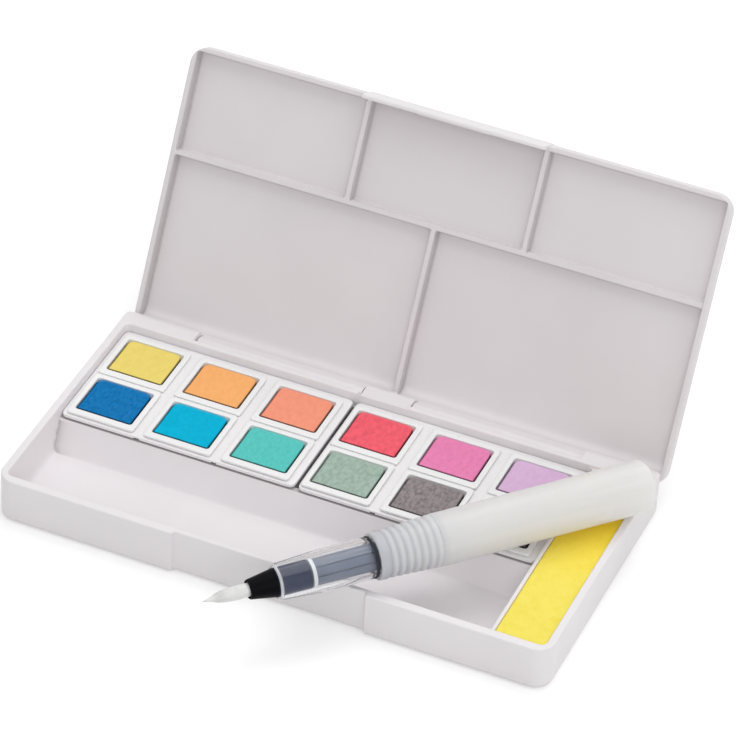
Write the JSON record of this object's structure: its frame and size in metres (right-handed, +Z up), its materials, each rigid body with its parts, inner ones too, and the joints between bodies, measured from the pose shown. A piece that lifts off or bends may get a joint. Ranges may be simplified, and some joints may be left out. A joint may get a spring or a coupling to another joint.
{
  "type": "watercolor pan set",
  "caption": "Flat hinged palette box with paint pans in drop-in trays, mixing wells in the lid, a brush trough, a sponge bay and a refillable water brush laid across the case.",
  "frame": {"origin": "centre of the case's flat underside", "axes": "+X along the long side, towards the sponge bay; +Y towards the hinge; +Z up"},
  "size_m": [0.1449, 0.1332, 0.0728],
  "materials": {
    "case": "white moulded plastic, satin",
    "pan": "white moulded plastic, satin",
    "paint_yellow": "dry pressed paint, matt",
    "paint_orange": "dry pressed paint, matt",
    "paint_salmon": "dry pressed paint, matt",
    "paint_red": "dry pressed paint, matt",
    "paint_pink": "dry pressed paint, matt",
    "paint_lilac": "dry pressed paint, matt",
    "paint_blue": "dry pressed paint, matt",
    "paint_cyan": "dry pressed paint, matt",
    "paint_teal": "dry pressed paint, matt",
    "paint_sage": "dry pressed paint, matt",
    "paint_grey": "dry pressed paint, matt",
    "paint_charcoal": "dry pressed paint, matt",
    "sponge": "yellow open-cell sponge",
    "bristle": "white synthetic bristles",
    "nose": "black, semi-gloss",
    "neck": "clear",
    "feed": "dark grey inner tube",
    "seal": "dark ring",
    "barrel": "soft translucent, milky"
  },
  "bodies": {
    "case": {"case_base": "case", "pan_tray_left": "case", "pan_tray_right": "case", "sponge": "sponge", "half_pan_12": "pan", "paint_12": "paint_charcoal"},
    "lid": {"lid_palette": "case"},
    "pan_01": {"half_pan_01": "pan", "paint_01": "paint_yellow"},
    "pan_02": {"half_pan_02": "pan", "paint_02": "paint_orange"},
    "pan_03": {"half_pan_03": "pan", "paint_03": "paint_salmon"},
    "pan_04": {"half_pan_04": "pan", "paint_04": "paint_red"},
    "pan_05": {"half_pan_05": "pan", "paint_05": "paint_pink"},
    "pan_06": {"half_pan_06": "pan", "paint_06": "paint_lilac"},
    "pan_07": {"half_pan_07": "pan", "paint_07": "paint_blue"},
    "pan_08": {"half_pan_08": "pan", "paint_08": "paint_cyan"},
    "pan_09": {"half_pan_09": "pan", "paint_09": "paint_teal"},
    "pan_10": {"half_pan_10": "pan", "paint_10": "paint_sage"},
    "pan_11": {"half_pan_11": "pan", "paint_11": "paint_grey"},
    "brush_body": {"brush_barrel": "barrel"},
    "brush_ring": {"brush_seal": "seal"},
    "brush_head": {"brush_tuft": "bristle", "brush_nose": "nose", "brush_neck": "neck", "brush_feed": "feed"}
  },
  "joints": [
    {"name": "lid_hinge", "type": "hinge", "parent": "case", "child": "lid", "pos_m": [0, 0.0345, 0.0089], "axis": [-1, 0, 0], "range_deg": [-117, 0]},
    {"name": "brush_away", "type": "slide", "parent": "case", "child": "brush_body", "axis": [0, -0.8192, 0.5736], "range_m": [0, 0.115]},
    {"name": "head_turn", "type": "hinge", "parent": "brush_body", "child": "brush_ring", "pos_m": [-0.0063, -0.0605, 0.01652], "axis": [-0.6806, -0.7324, -0.017], "range_deg": [0, 720]},
    {"name": "head_travel", "type": "slide", "parent": "brush_ring", "child": "brush_head", "axis": [-0.6806, -0.7324, -0.017], "range_m": [0, 0.0066]},
    {"name": "pan_lift_01", "type": "slide", "parent": "case", "child": "pan_01", "axis": [0, 0, 1], "range_m": [0, 0.018]},
    {"name": "pan_lift_02", "type": "slide", "parent": "case", "child": "pan_02", "axis": [0, 0, 1], "range_m": [0, 0.018]},
    {"name": "pan_lift_03", "type": "slide", "parent": "case", "child": "pan_03", "axis": [0, 0, 1], "range_m": [0, 0.018]},
    {"name": "pan_lift_04", "type": "slide", "parent": "case", "child": "pan_04", "axis": [0, 0, 1], "range_m": [0, 0.018]},
    {"name": "pan_lift_05", "type": "slide", "parent": "case", "child": "pan_05", "axis": [0, 0, 1], "range_m": [0, 0.018]},
    {"name": "pan_lift_06", "type": "slide", "parent": "case", "child": "pan_06", "axis": [0, 0, 1], "range_m": [0, 0.018]},
    {"name": "pan_lift_07", "type": "slide", "parent": "case", "child": "pan_07", "axis": [0, 0, 1], "range_m": [0, 0.018]},
    {"name": "pan_lift_08", "type": "slide", "parent": "case", "child": "pan_08", "axis": [0, 0, 1], "range_m": [0, 0.018]},
    {"name": "pan_lift_09", "type": "slide", "parent": "case", "child": "pan_09", "axis": [0, 0, 1], "range_m": [0, 0.018]},
    {"name": "pan_lift_10", "type": "slide", "parent": "case", "child": "pan_10", "axis": [0, 0, 1], "range_m": [0, 0.018]},
    {"name": "pan_lift_11", "type": "slide", "parent": "case", "child": "pan_11", "axis": [0, 0, 1], "range_m": [0, 0.018]}
  ],
  "couplings": [
    {"joint": "brush_away", "follows": "lid_hinge", "m_per_rad": -0.0563},
    {"joint": "head_turn", "follows": "head_travel", "rad_per_m": 1904}
  ]
}
